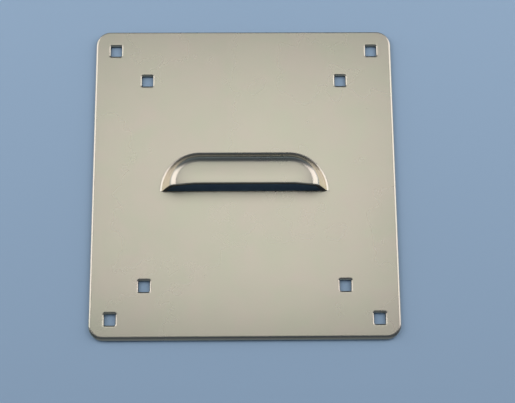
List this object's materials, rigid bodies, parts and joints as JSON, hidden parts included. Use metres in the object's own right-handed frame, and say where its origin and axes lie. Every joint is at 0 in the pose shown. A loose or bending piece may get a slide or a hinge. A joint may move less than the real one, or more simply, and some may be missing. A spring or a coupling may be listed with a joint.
{
  "type": "cover plate",
  "caption": "Flat steel cover plate with round corners, square bolt holes near its corners and a pressed hood in the middle to pull it by.",
  "frame": {"origin": "centre of the plate's back face", "axes": "+Z out of the front of the plate, +Y along its length from the lip towards the back of the hood, +X along its width"},
  "size_m": [0.2, 0.21, 0.02],
  "materials": {
    "plated_steel": "fine satin plating, warm grey"
  },
  "bodies": {
    "root": {"cover_plate": "plated_steel"}
  },
  "joints": []
}
